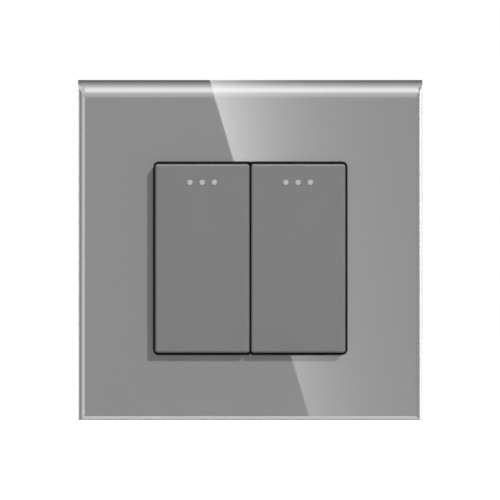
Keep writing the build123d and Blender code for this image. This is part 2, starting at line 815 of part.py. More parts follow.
def make_terminal(gang, offset_x, end):
    """Brass pillar terminal with its wire bore and the hole for the clamping screw."""
    with BuildPart() as terminal:
        with BuildSketch(front(chamber_floor)):
            with Locations((gang + offset_x, end * terminal_middle)):
                Rectangle(terminal_width, terminal_length)
        extrude(amount=-terminal_depth)
        chamfer(terminal.edges().filter_by(Axis.Y), terminal_chamfer)
        with BuildSketch(Plane.XY.offset(end * terminal_middle)):
            with Locations((gang + offset_x, -wire_height)):
                Circle(wire_bore_radius)
        extrude(amount=terminal_length / 2, both=True, mode=Mode.SUBTRACT)
        with BuildSketch(front(terminal_back)):
            with Locations((gang + offset_x, end * clamp_z)):
                Circle(clamp_radius + clamp_hole_play)
        extrude(amount=wire_height - terminal_back, mode=Mode.SUBTRACT)
    return terminal


def make_clamp_screws(gang):
    """Clamping screws of one rocker's terminals, backed out clear of the wire bores."""
    places = [(gang + x, end * clamp_z) for x, end in terminals.values()]
    screw_tip = wire_height - wire_bore_radius - clamp_clear
    head_front = screw_tip - clamp_length
    head_back = head_front - clamp_head_height
    with BuildPart() as screws:
        with BuildSketch(front(screw_tip)):
            with Locations(*places):
                Circle(clamp_radius)
        extrude(amount=-clamp_length)
        with BuildSketch(front(head_front)):
            with Locations(*places):
                Circle(clamp_head_radius)
        extrude(amount=-clamp_head_height)
        with BuildSketch(front(head_back)):
            with Locations(*places):
                Rectangle(2 * clamp_head_radius, drive_slot_width)
        extrude(amount=drive_slot_depth, mode=Mode.SUBTRACT)
    return screws


# Each gang's pieces: the left and the right one are alike.
for name, gang in gangs.items():
    pieces = {
        "rocker": make_rocker(gang),
        "rocker_dots": make_dots(gang),
        "cradle": make_cradle(gang),
        "plunger": make_plunger(gang),
        "plunger_spring": make_spring(gang),
        "seesaw_contact": make_seesaw(gang),
        "contact_tips": make_tips(gang),
        "fixed_contact_rivets": make_rivets(gang),
        "upper_contact": make_upper_contact(gang),
        "lower_contact": make_lower_contact(gang),
        "common_bracket": make_common_bracket(gang),
        "clamp_screws": make_clamp_screws(gang),
    }
    for place, (offset_x, end) in terminals.items():
        pieces[f"{place}_terminal"] = make_terminal(gang, offset_x, end)
    for piece_name, piece in pieces.items():
        piece.part.label = f"{name}_{piece_name}"
        export_step(piece.part, f"parts/{piece.part.label}.step")
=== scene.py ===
# %% [markdown]
# # A double light switch in a grey glass panel
#
# This lesson dresses a finished construction model: a glass wall plate with two rockers, and behind
# it the steel plate, the moulded frame, the contacts and their housing. The shapes are already
# there, so what is left is what each piece is made of, and the light that shows it.
# The model is in metres: +X to the right, +Z up, and the front faces -Y.

import bpy
from math import cos, radians, sin
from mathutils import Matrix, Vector


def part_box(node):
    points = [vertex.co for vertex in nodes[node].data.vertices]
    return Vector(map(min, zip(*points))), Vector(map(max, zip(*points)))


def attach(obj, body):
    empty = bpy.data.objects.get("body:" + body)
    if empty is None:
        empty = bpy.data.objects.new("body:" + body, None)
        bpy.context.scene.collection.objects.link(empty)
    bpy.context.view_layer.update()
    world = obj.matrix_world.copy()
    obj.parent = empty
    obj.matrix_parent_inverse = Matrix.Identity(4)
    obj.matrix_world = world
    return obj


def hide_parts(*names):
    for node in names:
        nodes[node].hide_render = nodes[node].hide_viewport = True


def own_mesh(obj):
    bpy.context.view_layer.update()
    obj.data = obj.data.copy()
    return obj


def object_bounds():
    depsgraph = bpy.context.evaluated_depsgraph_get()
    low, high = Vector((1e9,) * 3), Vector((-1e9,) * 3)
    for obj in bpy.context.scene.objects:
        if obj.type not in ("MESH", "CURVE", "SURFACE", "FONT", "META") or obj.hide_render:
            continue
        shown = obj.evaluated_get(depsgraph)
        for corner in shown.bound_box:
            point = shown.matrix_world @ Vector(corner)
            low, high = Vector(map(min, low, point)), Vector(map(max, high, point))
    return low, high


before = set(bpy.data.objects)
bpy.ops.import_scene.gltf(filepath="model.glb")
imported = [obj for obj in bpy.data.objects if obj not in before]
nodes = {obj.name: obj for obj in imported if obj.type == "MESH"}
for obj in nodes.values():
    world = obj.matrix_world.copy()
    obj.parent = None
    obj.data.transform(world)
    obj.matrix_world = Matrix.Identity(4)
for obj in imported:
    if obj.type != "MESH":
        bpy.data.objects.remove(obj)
cad_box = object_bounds()

# %% [markdown]
# ## The camera
#
# The switch is seen straight on, with no convergence, as a catalogue shows it. A very long lens
# from far away gives that. A parallel camera would too, but a real lens keeps the slight widening
# of the reflections across the glass. Its distance sets the scale: about 125 mm fill the frame.

# %% Camera
MM = 0.001
glass_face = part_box("glass_panel")[0].y
lens, sensor, frame_width = 1500.0, 36.0, 124.85 * MM
camera_distance = frame_width * lens / sensor
aim_x, aim_z = -0.05 * MM, 2.09 * MM

camera_data = bpy.data.cameras.new("product_camera")
camera_data.lens = lens
camera_data.sensor_width = sensor
camera = bpy.data.objects.new("product_camera", camera_data)
camera.location = (aim_x, glass_face - camera_distance, aim_z)
camera.rotation_euler = (radians(90), 0, 0)
bpy.context.scene.collection.objects.link(camera)
bpy.context.scene.camera = camera
bpy.context.scene.view_settings.view_transform = "Standard"
print("camera", round(camera_distance, 4), "m in front of the glass")

# %% [markdown]
# ## Colours and nodes
#
# Colours are written as sRGB hex codes, as a paint chart or a picture editor gives them, and one
# function turns them into the linear values that the renderer adds up. A second small function
# adds a node with its settings and links, which keeps each material readable as a recipe.


# %% Helpers for colours and nodes
def linear(hex_code):
    """Linear RGBA of an sRGB hex colour."""
    channels = [int(hex_code[i:i + 2], 16) / 255 for i in (1, 3, 5)]
    return (*[c / 12.92 if c <= 0.04045 else ((c + 0.055) / 1.055) ** 2.4 for c in channels], 1.0)


def add(tree, kind, inputs=None, **settings):
    """A node with its settings, and its inputs set to values or linked to sockets."""
    node = tree.nodes.new(kind)
    for name, value in settings.items():
        setattr(node, name, value)
    for name, value in (inputs or {}).items():
        if isinstance(value, bpy.types.NodeSocket):
            tree.links.new(value, node.inputs[name])
        else:
            node.inputs[name].default_value = value
    return node


def new_material(name):
    """An empty material, its node tree and its surface shader."""
    material = bpy.data.materials.new(name)
    material.use_nodes = True
    tree = material.node_tree
    return material, tree, tree.nodes["Principled BSDF"]


def millimetres(tree):
    """The piece's own coordinates, in millimetres."""
    place = add(tree, "ShaderNodeTexCoord").outputs["Object"]
    per_metre = (1 / MM,) * 3
    scaled = add(tree, "ShaderNodeVectorMath", {0: place, 1: per_metre}, operation="MULTIPLY")
    return scaled.outputs[0]


def noise(tree, place, size_mm, detail=3.0):
    """Soft noise whose grains are about size_mm across."""
    inputs = {"Vector": place, "Scale": 1 / size_mm, "Detail": detail}
    return add(tree, "ShaderNodeTexNoise", inputs).outputs["Fac"]


def ranged(tree, value, start, end, low=0.0, high=1.0):
    """A value that runs from low to high while the given one runs from start to end."""
    inputs = {"Value": value, "From Min": start, "From Max": end, "To Min": low, "To Max": high}
    return add(tree, "ShaderNodeMapRange", inputs).outputs["Result"]


def between(tree, factor, low, high):
    """A value that runs from low to high as factor runs over the middle of a noise."""
    noise_low, noise_high = 0.3, 0.7
    return ranged(tree, factor, noise_low, noise_high, low, high)


def tint(tree, factor, colour, share):
    """The colour, made darker and lighter by a share of itself."""
    inputs = {0: colour[:3], "Scale": between(tree, factor, 1 - share, 1 + share)}
    return add(tree, "ShaderNodeVectorMath", inputs, operation="SCALE").outputs[0]


def rounded_edge(tree, radius_mm, low, high):
    """1 along the piece's edges and 0 on its flats."""
    soft = add(tree, "ShaderNodeBevel", {"Radius": radius_mm * MM}, samples=4).outputs["Normal"]
    flat = add(tree, "ShaderNodeNewGeometry").outputs["Normal"]
    same = add(tree, "ShaderNodeVectorMath", {0: soft, 1: flat}, operation="DOT_PRODUCT")
    return ranged(tree, same.outputs["Value"], high, low)


def mix(tree, factor, first, second):
    """Two colours mixed by a factor. A mix node keeps its colours in sockets 6, 7 and 2."""
    return add(tree, "ShaderNodeMix", {0: factor, 6: first, 7: second}, data_type="RGBA").outputs[2]


def roughen(tree, surface, height, strength, depth_mm):
    """Press a height into the surface, as a bump of the given depth."""
    inputs = {"Height": height, "Strength": strength, "Distance": depth_mm * MM}
    bump = add(tree, "ShaderNodeBump", inputs)
    tree.links.new(bump.outputs["Normal"], surface.inputs["Normal"])


def dress(names, material):
    """Give the named pieces one material."""
    for name in names:
        slots = nodes[name].material_slots
        if slots:
            slots[0].material = material
        else:
            nodes[name].data.materials.append(material)
    print(material.name, "on", len(names), "pieces")


def both(*pieces):
    """Names of the left and the right one of each piece."""
    return [f"{side}_{piece}" for side in ("left", "right") for piece in pieces]


print("a middle grey, #808080, sends back", round(linear("#808080")[0], 3), "of the light")

# %% [markdown]
# ## The glass
#
# The panel is toughened float glass, printed with a grey ceramic enamel on its back and polished
# round its edges. It could be a clear block over a painted sheet, but the enamel is fired onto the
# glass and is seen as one grey body under a gloss, so one opaque surface with the glass's own
# refractive index shows the same: a plain grey and one sharp reflection. Towards the top of the
# rolled edge the grey is darkened: that is painted shade, not a colour of the glass.

# %% Enamelled toughened glass
# the second colour is a painted shade, the dark grey given to the top of the rolled edge
ENAMEL, TOP_EDGE_SHADE = "#818181", "#4b4d4e"
SHADE_STARTS, SHADE_FULL = 1.0, 0.3  # millimetres below the top of the panel
GLASS_IOR = 1.5
CLOUD_MM, WIPE_MM, WAVE_MM = 14.0, 8.0, 20.0
glass, tree, surface = new_material("enamelled_toughened_glass")
place = millimetres(tree)
panel_low, panel_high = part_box("glass_panel")
axes = add(tree, "ShaderNodeSeparateXYZ", {0: place})
top_mm = panel_high.z / MM
# painted shade: the grey darkens from 1 mm below the top of the panel and is fully dark 0.3 mm
# below it
painted_top_shade = ranged(tree, axes.outputs["Z"], top_mm - SHADE_STARTS, top_mm - SHADE_FULL)
printed = tint(tree, noise(tree, place, CLOUD_MM), linear(ENAMEL), share=0.006)
tree.links.new(mix(tree, painted_top_shade, printed, linear(TOP_EDGE_SHADE)), surface.inputs["Base Color"])
surface.inputs["IOR"].default_value = GLASS_IOR
# faint wipe marks, some 8 mm across, are all that breaks up the gloss
wipes = noise(tree, place, WIPE_MM, detail=5.0)
tree.links.new(between(tree, wipes, low=0.008, high=0.02), surface.inputs["Roughness"])
roughen(tree, surface, noise(tree, place, WAVE_MM, detail=1.0), strength=0.02, depth_mm=0.02)
dress(["glass_panel"], glass)

# %% [markdown]
# ## The rockers and other mouldings
#
# The rockers are moulded polycarbonate. The mould was spark-eroded, which leaves a fine even grain
# that scatters light, so the face looks matte beside the glass. A high roughness alone would do
# that from afar, but a bump of grains about 0.12 mm across holds in a close view too. The same
# recipe, with other colours and gloss, fits the mouldings behind. Their grain is drawn at 0.25 to
# 0.3 mm, coarser than a real one, so that it shows in the render.


# %% Moulded plastic
PLASTIC_IOR = 1.5  # less than polycarbonate's 1.58, so that its faces mirror a little less


def uneven(tree, surface, factor, roughness, less, more):
    """Let the roughness vary round its mean, from less below it to more above it."""
    spread = between(tree, factor, roughness - less, roughness + more)
    tree.links.new(spread, surface.inputs["Roughness"])


def moulded_plastic(name, colour, edge_colour, roughness, grain_mm, depth_mm, gloss=0.5):
    """Moulded plastic with an eroded grain, slight flow shading and lighter edges."""
    material, tree, surface = new_material(name)
    place = millimetres(tree)
    flow = tint(tree, noise(tree, place, size_mm=9.0, detail=2.0), linear(colour), share=0.015)
    edge = rounded_edge(tree, radius_mm=0.25, low=0.8, high=0.995)
    tree.links.new(mix(tree, edge, flow, linear(edge_colour)), surface.inputs["Base Color"])
    surface.inputs["IOR"].default_value = PLASTIC_IOR
    surface.inputs["Specular IOR Level"].default_value = gloss
    grain = noise(tree, place, grain_mm, detail=4.0)
    uneven(tree, surface, grain, roughness, less=0.05, more=0.05)
    roughen(tree, surface, grain, strength=0.5, depth_mm=depth_mm)
    return material


dress(both("rocker"), moulded_plastic(
    "satin_moulded_polycarbonate", "#6a6a6a", "#6d6d6d",
    roughness=0.5, grain_mm=0.12, depth_mm=0.012, gloss=0.35))
dress(["panel_carrier"], moulded_plastic(
    "carrier_polycarbonate", "#5a5b5c", "#646566",
    roughness=0.45, grain_mm=0.3, depth_mm=0.02))
dress(["module_frame"], moulded_plastic(
    "black_polycarbonate", "#2b2b2c", "#3a3a3b",
    roughness=0.4, grain_mm=0.25, depth_mm=0.02))
dress(["base_housing"], moulded_plastic(
    "flame_retardant_polycarbonate", "#d9d7cf", "#e2e0d9",
    roughness=0.42, grain_mm=0.3, depth_mm=0.03))

# %% [markdown]
# ## Acetal for what slides
#
# The cradles and plungers rub on other pieces, so they are natural acetal: milky white, a little
# waxy and smoother than the housing. A plain white would look like paint, so a small amount of
# light goes into the surface and comes out again, by subsurface scattering over half a millimetre.
# The dots in the rockers are pale acrylic, which lets light in as well, and share the recipe. The
# mould's texture is drawn with grains of 0.4 mm, coarser than a real one, so that it shows.


# %% Natural acetal and the dots
ACETAL_IOR = 1.48  # acrylic has 1.49


def milky_plastic(name, colour, roughness, depth_mm, share):
    """A plastic that lets light a little way in."""
    material, tree, surface = new_material(name)
    place = millimetres(tree)
    cloud = noise(tree, place, size_mm=4.0, detail=2.0)
    tree.links.new(tint(tree, cloud, linear(colour), share=0.02), surface.inputs["Base Color"])
    fine = noise(tree, place, size_mm=0.4, detail=3.0)
    uneven(tree, surface, fine, roughness, less=0.04, more=0.04)
    surface.inputs["IOR"].default_value = ACETAL_IOR
    surface.inputs["Subsurface Weight"].default_value = share
    surface.inputs["Subsurface Radius"].default_value = (1.0, 1.0, 1.0)
    surface.inputs["Subsurface Scale"].default_value = depth_mm * MM
    roughen(tree, surface, fine, strength=0.3, depth_mm=0.01)
    return material


dress(both("cradle", "plunger"), milky_plastic(
    "natural_acetal", "#e9e8e3", roughness=0.3, depth_mm=0.5, share=0.3))
dress(both("rocker_dots"), milky_plastic(
    "pale_acrylic", "#acabb2", roughness=0.4, depth_mm=0.4, share=0.2))

# %% [markdown]
# ## Zinc-plated steel
#
# The support plate is pressed from galvanised sheet. Molten zinc freezes in crystals some
# millimetres across, the spangle, each tilted a little, so each is a shade lighter or darker. Noise
# would give clouds, but the cells of a Voronoi pattern have sharp borders, as crystals do. The
# screws are electroplated and the springs are drawn wire. They have no spangle, only marks too fine
# to show, so cells of 0.5 and 0.3 mm stand for those, coarser than real ones.


# %% Galvanised sheet and plated screws
def plated_steel(name, colour, crystal_mm, spread, roughness):
    """Zinc on steel: a metal whose shade and gloss change from crystal to crystal."""
    material, tree, surface = new_material(name)
    place = millimetres(tree)
    cells = add(tree, "ShaderNodeTexVoronoi", {"Vector": place, "Scale": 1 / crystal_mm})
    shade = add(tree, "ShaderNodeSeparateColor", {0: cells.outputs["Color"]})
    surface.inputs["Metallic"].default_value = 1.0
    shaded = tint(tree, shade.outputs[0], linear(colour), spread)
    tree.links.new(shaded, surface.inputs["Base Color"])
    uneven(tree, surface, shade.outputs[1], roughness, less=0.06, more=0.06)
    grain = noise(tree, place, size_mm=0.3, detail=4.0)
    roughen(tree, surface, grain, strength=0.3, depth_mm=0.01)
    return material


dress(["support_plate"], plated_steel(
    "galvanised_sheet", "#b9bcbe", crystal_mm=3.5, spread=0.07, roughness=0.36))
dress(["plate_screws"] + both("clamp_screws"), plated_steel(
    "plated_screw_steel", "#c6c3b8", crystal_mm=0.5, spread=0.05, roughness=0.3))
dress(both("plunger_spring"), plated_steel(
    "spring_wire", "#a9a9ab", crystal_mm=0.3, spread=0.06, roughness=0.25))

# %% [markdown]
# ## Brass and silver
#
# The terminals and contact blades are brass, blanked from rolled strip, which leaves fine lines
# along the rolling direction. The contact tips are a silver alloy, whiter and slightly tarnished.
# A wave pattern would make the lines as even as a comb, so noise is stretched along one axis
# instead. They are drawn about 0.12 mm wide, coarser than real ones, so that they show.


# %% Rolled brass and contact silver
ROLLING_STRETCH = (8.0, 8.0, 0.3)


def rolled_metal(name, colour, tarnish, roughness):
    """A soft metal with rolling lines along Z and a thin uneven tarnish."""
    material, tree, surface = new_material(name)
    place = millimetres(tree)
    stretched = add(tree, "ShaderNodeMapping", {"Vector": place, "Scale": ROLLING_STRETCH})
    lines = noise(tree, stretched.outputs[0], size_mm=1.0, detail=3.0)
    patches = ranged(tree, noise(tree, place, size_mm=2.5, detail=4.0), start=0.45, end=0.8)
    surface.inputs["Metallic"].default_value = 1.0
    tarnished = mix(tree, patches, linear(colour), linear(tarnish))
    tree.links.new(tarnished, surface.inputs["Base Color"])
    uneven(tree, surface, lines, roughness, less=0.06, more=0.08)
    roughen(tree, surface, lines, strength=0.3, depth_mm=0.008)
    return material


brass_pieces = both("seesaw_contact", "upper_contact", "lower_contact", "common_bracket",
                    "upper_terminal", "lower_terminal", "common_terminal")
dress(brass_pieces, rolled_metal("rolled_brass", "#d6b678", "#bc995c", roughness=0.28))
dress(both("contact_tips", "fixed_contact_rivets"), rolled_metal(
    "contact_silver", "#e6e5e1", "#b9b4a8", roughness=0.22))

# %% [markdown]
# ## Foam tape
#
# The glass is held by double-sided acrylic foam tape. Only its cut edge can be seen, where the
# closed cells show as tiny pits about 0.2 mm across. Noise would leave a crust there, but the
# distance from the points of a Voronoi pattern leaves round pits.

# %% Foam tape
PIT_MM, FOAM = 0.2, "#c9c9c6"
foam, tree, surface = new_material("acrylic_foam_tape")
place = millimetres(tree)
pits = add(tree, "ShaderNodeTexVoronoi", {"Vector": place, "Scale": 1 / PIT_MM}).outputs["Distance"]
# the pits are also painted a little darker towards their centres, a painted shade inside them
tree.links.new(tint(tree, pits, linear(FOAM), share=0.08), surface.inputs["Base Color"])
surface.inputs["Roughness"].default_value = 0.85
roughen(tree, surface, pits, strength=0.6, depth_mm=0.04)
dress(["bonding_tape"], foam)

# %% [markdown]
# ## Terminal marks
#
# Between each wire entry and the snap arms such a housing has a small raised mark that tells the
# common terminal from the two switched ones: L, 1 and 2. Moulders cut letters into the mould,
# so they stand out of the plastic by a hair. A bump would show that only in a render, but text
# objects with a little thickness are shapes of their own.

# %% Raised terminal marks
CATCH_REACH = 1.0 * MM
MARK_SIZE, MARK_RELIEF, MARK_WEIGHT, MARK_SETBACK = 2.6 * MM, 0.25 * MM, 0.06 * MM, 1.75 * MM
housing_low, housing_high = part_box("base_housing")
# the housing's box reaches to its catches, which stand out of the end faces
end_face = {1: housing_high.z - CATCH_REACH, -1: housing_low.z + CATCH_REACH}
mark_material = bpy.data.materials["flame_retardant_polycarbonate"]
for side in ("left", "right"):
    for terminal, sign in (("upper", "1"), ("lower", "2"), ("common", "L")):
        low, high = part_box(f"{side}_{terminal}_terminal")
        end = 1 if terminal == "upper" else -1
        text = bpy.data.curves.new(f"{side}_{terminal}_mark", "FONT")
        text.body = sign
        text.size = MARK_SIZE
        # a text is extruded both ways, so as much of it lies in the wall as stands out
        text.extrude = MARK_RELIEF
        text.offset = MARK_WEIGHT
        text.align_x = "CENTER"
        text.align_y = "CENTER"
        text.materials.append(mark_material)
        mark = bpy.data.objects.new(f"{side}_{terminal}_mark", text)
        bpy.context.scene.collection.objects.link(mark)
        mark.location = ((low.x + high.x) / 2, low.y - MARK_SETBACK, end_face[end])
        mark.rotation_euler = (0, 0, 0) if end > 0 else (radians(180), 0, 0)
        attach(mark, "housing_body")
print("6 terminal marks on the housing's ends")

# %% [markdown]
# ## Coil springs
#
# A coil spring of round wire presses each plunger, with its end turns wound close so that it stands
# square. The construction model has a plain stand-in for it, of square wire. A bevelled curve would
# be quicker, but a piece that shortens with a joint has to be a mesh, so the wire is laid out ring
# by ring along its helix. It gives way by 0.7 mm when the plunger goes in.

# %% Springs of round wire
WIRE_RADIUS, COIL_RADIUS, PLUNGER_TRAVEL = 0.22 * MM, 1.5 * MM, 0.7 * MM
TURNS, CLOSED_TURNS, TURN_STEPS, WIRE_SIDES = 5, 0.9, 28, 10
CLOSE_PITCH = 2.08 * WIRE_RADIUS  # closed turns lie a hair apart
OPENING_RATE = 3  # after them the pitch opens within a third of a turn


def coil_spring(name, middle, near, far):
    """A compression spring of round wire along Y, between two faces, with closed ends."""
    count = TURNS * TURN_STEPS
    past_closed = [max(0.0, min(i, count - i) / TURN_STEPS - CLOSED_TURNS) for i in range(count)]
    opened = [min(1.0, OPENING_RATE * turns) for turns in past_closed]
    close_climb = CLOSE_PITCH / TURN_STEPS
    open_climb = (near - far - 2 * WIRE_RADIUS - count * close_climb) / sum(opened)
    across, place, points = Vector((0, 1, 0)), near - WIRE_RADIUS, []
    for i in range(count + 1):
        turn = radians(360 * i / TURN_STEPS)
        outward = Vector((cos(turn), 0, sin(turn)))
        centre = Vector((middle, place, 0)) + outward * COIL_RADIUS
        for side_number in range(WIRE_SIDES):
            angle = radians(360 * side_number / WIRE_SIDES)
            points.append(centre + (outward * cos(angle) + across * sin(angle)) * WIRE_RADIUS)
        if i < count:
            place -= close_climb + open_climb * opened[i]
    faces = []
    for ring in range(0, count * WIRE_SIDES, WIRE_SIDES):
        for s in range(WIRE_SIDES):
            near_pair = (ring + s, ring + (s + 1) % WIRE_SIDES)
            faces.append((*near_pair, near_pair[1] + WIRE_SIDES, near_pair[0] + WIRE_SIDES))
    last = count * WIRE_SIDES
    ends = [tuple(reversed(range(WIRE_SIDES))), tuple(range(last, last + WIRE_SIDES))]
    mesh = bpy.data.meshes.new(name)
    mesh.from_pydata(points, [], faces + ends)
    mesh.polygons.foreach_set("use_smooth", [True] * len(faces) + [False] * len(ends))
    mesh.materials.append(bpy.data.materials["spring_wire"])
    spring = bpy.data.objects.new(name, mesh)
    bpy.context.scene.collection.objects.link(spring)
    return spring


for side in ("left", "right"):
    low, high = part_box(f"{side}_plunger_spring")
    middle, length = (low.x + high.x) / 2, high.y - low.y
    spring = coil_spring(f"{side}_coil_spring", middle, high.y, low.y)
    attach(spring, f"{side}_rocker_body")
    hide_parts(f"{side}_plunger_spring")
    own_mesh(spring)
print("2 coil springs,", round(length / MM, 2), "mm long at rest")

# %% [markdown]
# ## The floor and the white surroundings
#
# The switch hangs above a plain pale floor. A floor that is lit to pure white would also light the
# switch from below, so part of its whiteness is added only where it is seen or mirrored, and the
# shadow still darkens it. The sky is white where it is seen, directly or in a reflection, and less
# than half as bright where it lights the pieces.


# %% Floor
def combine(tree, operation, first, second):
    """Two values combined by a math node."""
    return add(tree, "ShaderNodeMath", {0: first, 1: second}, operation=operation).outputs[0]


FLOOR_DROP, FLOOR_REACH = 110 * MM, 30.0
SEEN_GLOW, REFLECTED_GLOW = 0.55, 0.25
floor_mesh = bpy.data.meshes.new("studio_floor")
floor_z = cad_box[0].z - FLOOR_DROP
ends = (-FLOOR_REACH, FLOOR_REACH)
floor_mesh.from_pydata([(x, y, floor_z) for x in ends for y in ends], [], [(0, 2, 3, 1)])
floor = bpy.data.objects.new("studio_floor", floor_mesh)
bpy.context.scene.collection.objects.link(floor)
paper, tree, surface = new_material("pale_studio_paper")
surface.inputs["Base Color"].default_value = linear("#cfcfcf")
surface.inputs["Roughness"].default_value = 0.9
surface.inputs["Specular IOR Level"].default_value = 0.0
surface.inputs["Emission Color"].default_value = (1, 1, 1, 1)
rays = add(tree, "ShaderNodeLightPath").outputs
seen = combine(tree, "MAXIMUM", rays["Is Camera Ray"], rays["Is Transmission Ray"])
glow = combine(tree, "MULTIPLY", seen, SEEN_GLOW)
reflected = combine(tree, "MULTIPLY", rays["Is Glossy Ray"], REFLECTED_GLOW)
glow = combine(tree, "MAXIMUM", glow, reflected)
tree.links.new(glow, surface.inputs["Emission Strength"])
# seen from below, the floor is clear, so that the switch can be looked at from there too
clear = add(tree, "ShaderNodeBsdfTransparent").outputs[0]
below = add(tree, "ShaderNodeNewGeometry").outputs["Backfacing"]
sheet = add(tree, "ShaderNodeMixShader", {0: below, 1: surface.outputs[0], 2: clear})
tree.links.new(sheet.outputs[0], tree.nodes["Material Output"].inputs["Surface"])
floor_mesh.materials.append(paper)
print("floor", round(floor_z, 4), "m")

# %% Sky
SKY_LIGHT, SKY_SEEN = 0.42, 1.0
world = bpy.data.worlds.new("white_surroundings")
world.use_nodes = True
bpy.context.scene.world = world
tree = world.node_tree
rays = add(tree, "ShaderNodeLightPath").outputs
seen = combine(tree, "MAXIMUM", rays["Is Camera Ray"], rays["Is Glossy Ray"])
seen = combine(tree, "MAXIMUM", seen, rays["Is Transmission Ray"])
sky = tree.nodes["Background"]
sky.inputs["Color"].default_value = (1, 1, 1, 1)
brightness = ranged(tree, seen, 0.0, 1.0, low=SKY_LIGHT, high=SKY_SEEN)
tree.links.new(brightness, sky.inputs["Strength"])
print("sky", SKY_LIGHT, "as light,", SKY_SEEN, "as seen")

# %% [markdown]
# ## The key light
#
# The rockers cast a narrow shadow to the left and below, about as wide as they stand out of the
# glass. So the main light comes from the upper right, and from well to the side. A lamp nearby
# would leave the floor in a pool of light. A sun lamp lights it evenly, and one a few degrees
# across gives that shadow its slightly soft edge. A weak second one stands behind, for the views
# of the back.


# %% Lamps
def sun(name, towards, strength, width):
    """A sun lamp that shines from the given direction, as wide as the given degrees."""
    data = bpy.data.lights.new(name, "SUN")
    data.energy = strength
    data.angle = radians(width)
    lamp = bpy.data.objects.new(name, data)
    lamp.rotation_euler = Vector(towards).to_track_quat("Z", "Y").to_euler()
    bpy.context.scene.collection.objects.link(lamp)
    return lamp


sun("key_lamp", towards=(1.15, -1.0, 1.25), strength=3.1, width=3.5)
back_lamp = sun("back_lamp", towards=(-0.35, 0.9, 0.25), strength=1.2, width=20.0)
# without a reflection of its own, because bare zinc would turn it into a glaring patch
back_lamp.visible_glossy = False
print("key lamp from the upper right, back lamp behind")

# %% [markdown]
# ## What the glass reflects
#
# Gloss shows nothing but its surroundings, so a photographer builds them: white boards for the
# highlights, grey ones to end them, and only reflections see them here. One large board above
# would do for every edge, but it would also fill the flat glass in each view from another side.
# So each rounded edge has a narrow strip of its own, bent round it 3 to 16 mm away.

# %% Boards that only reflections see
glass_only = bpy.data.collections.new("glass_only")
all_but_glass = bpy.data.collections.new("all_but_glass")
for name, piece in nodes.items():
    (glass_only if name == "glass_panel" else all_but_glass).objects.link(piece)


def light_board(name, veil):
    """Light whose strength is written on the board's points. A veil adds to what is behind it."""
    material = bpy.data.materials.new(name)
    material.use_nodes = True
    tree = material.node_tree
    tree.nodes.remove(tree.nodes["Principled BSDF"])
    glow = add(tree, "ShaderNodeAttribute", attribute_name="glow").outputs["Fac"]
    shine = add(tree, "ShaderNodeEmission", {"Color": (1, 1, 1, 1), "Strength": glow}).outputs[0]
    if veil:
        clear = add(tree, "ShaderNodeBsdfTransparent").outputs[0]
        shine = add(tree, "ShaderNodeAddShader", {0: shine, 1: clear}).outputs[0]
    tree.links.new(shine, tree.nodes["Material Output"].inputs["Surface"])
    return material


board_light, veil_light = light_board("board_light", False), light_board("veil_light", True)


def board(name, rows, material=board_light, receivers=glass_only):
    """A strip of quads through rows of two points, each row with its brightness at both points."""
    mesh = bpy.data.meshes.new(name)
    points = [p for left, right, *_ in rows for p in (left, right)]
    faces = [(2 * i, 2 * i + 1, 2 * i + 3, 2 * i + 2) for i in range(len(rows) - 1)]
    mesh.from_pydata(points, [], faces)
    glow = mesh.attributes.new("glow", "FLOAT", "POINT")
    glow.data.foreach_set("value", [v for *_, a, b in rows for v in (a, b)])
    mesh.materials.append(material)
    piece = bpy.data.objects.new(name, mesh)
    bpy.context.scene.collection.objects.link(piece)
    for rays in ("camera", "diffuse", "transmission", "volume_scatter", "shadow"):
        setattr(piece, f"visible_{rays}", False)
    piece.light_linking.receiver_collection = receivers


def turned_spot(angle, outward, middle, roll, distance):
    """Where a sight line arrives that meets a rounded edge and is turned outward by an angle."""
    def towards(turn):
        return Vector((0, -cos(radians(turn)), 0)) + Vector(outward) * sin(radians(turn))

    return Vector(middle) + towards(angle / 2) * roll + towards(angle) * distance


def bent_board(name, outward, middle, roll, distance, reach, steps,
               material=board_light, receivers=glass_only):
    """A strip bent round an edge, with (angle, glow) steps."""
    along = Vector((0, 1, 0)).cross(Vector(outward))
    rows = []
    for angle, glow in steps:
        spot = turned_spot(angle, outward, middle, roll, distance)
        rows.append((spot - along * reach, spot + along * reach, glow, glow))
    board(name, rows, material, receivers)


# %% Boards round the four edges of the glass
UP, DOWN, LEFT, RIGHT = (0, 0, 1), (0, 0, -1), (-1, 0, 0), (1, 0, 0)
TOP_ROLL, BOTTOM_ROLL, SIDE_ROLL = 5.0 * MM, 1.2 * MM, 1.7 * MM
TOP_DISTANCE, BOTTOM_DISTANCE, SIDE_DISTANCE = 16 * MM, 3 * MM, 5 * MM
SIDE_REACH, ACROSS_REACH = 56 * MM, 60 * MM
ROLL_WIDTH = 4.6 * MM
# how far the sight line is turned, in degrees, and how bright the board is there
top_steps = [
    (4, 1.0), (5.5, 1.6), (10, 2.8), (15, 3.9), (21, 4.3), (26, 4.3), (30, 5.2), (35, 8.2),
    (41, 11.5), (48, 13.5), (54, 12.8), (61, 10.6), (68, 7.4), (75, 4.4), (83, 2.4), (91, 1.0),
    (100, 0.4), (125, 0.45), (150, 0.5)]
bottom_steps = [
    (6, 1.0), (9, 6.5), (14, 8.0), (34, 10.5), (45, 8.0), (60, 6.5), (90, 7.0), (100, 1.0)]
left_steps = [
    (1.5, 1.0), (3, 6.5), (17, 7.8), (34, 8.8), (52, 5.4), (72, 2.5), (95, 1.6), (124, 5.0),
    (150, 5.5)]
right_steps = [
    (8, 1.0), (17, 0.7), (34, 0.3), (45, 0.1), (62, 0.2), (68, 1.2), (74, 4.0), (82, 9.5),
    (90, 15.0), (100, 14.0), (124, 5.5), (150, 3.0)]
roll_start = panel_high.z - ROLL_WIDTH
top_middle = (0, glass_face + TOP_ROLL, roll_start)
bottom_middle = (0, glass_face + BOTTOM_ROLL, panel_low.z + BOTTOM_ROLL)
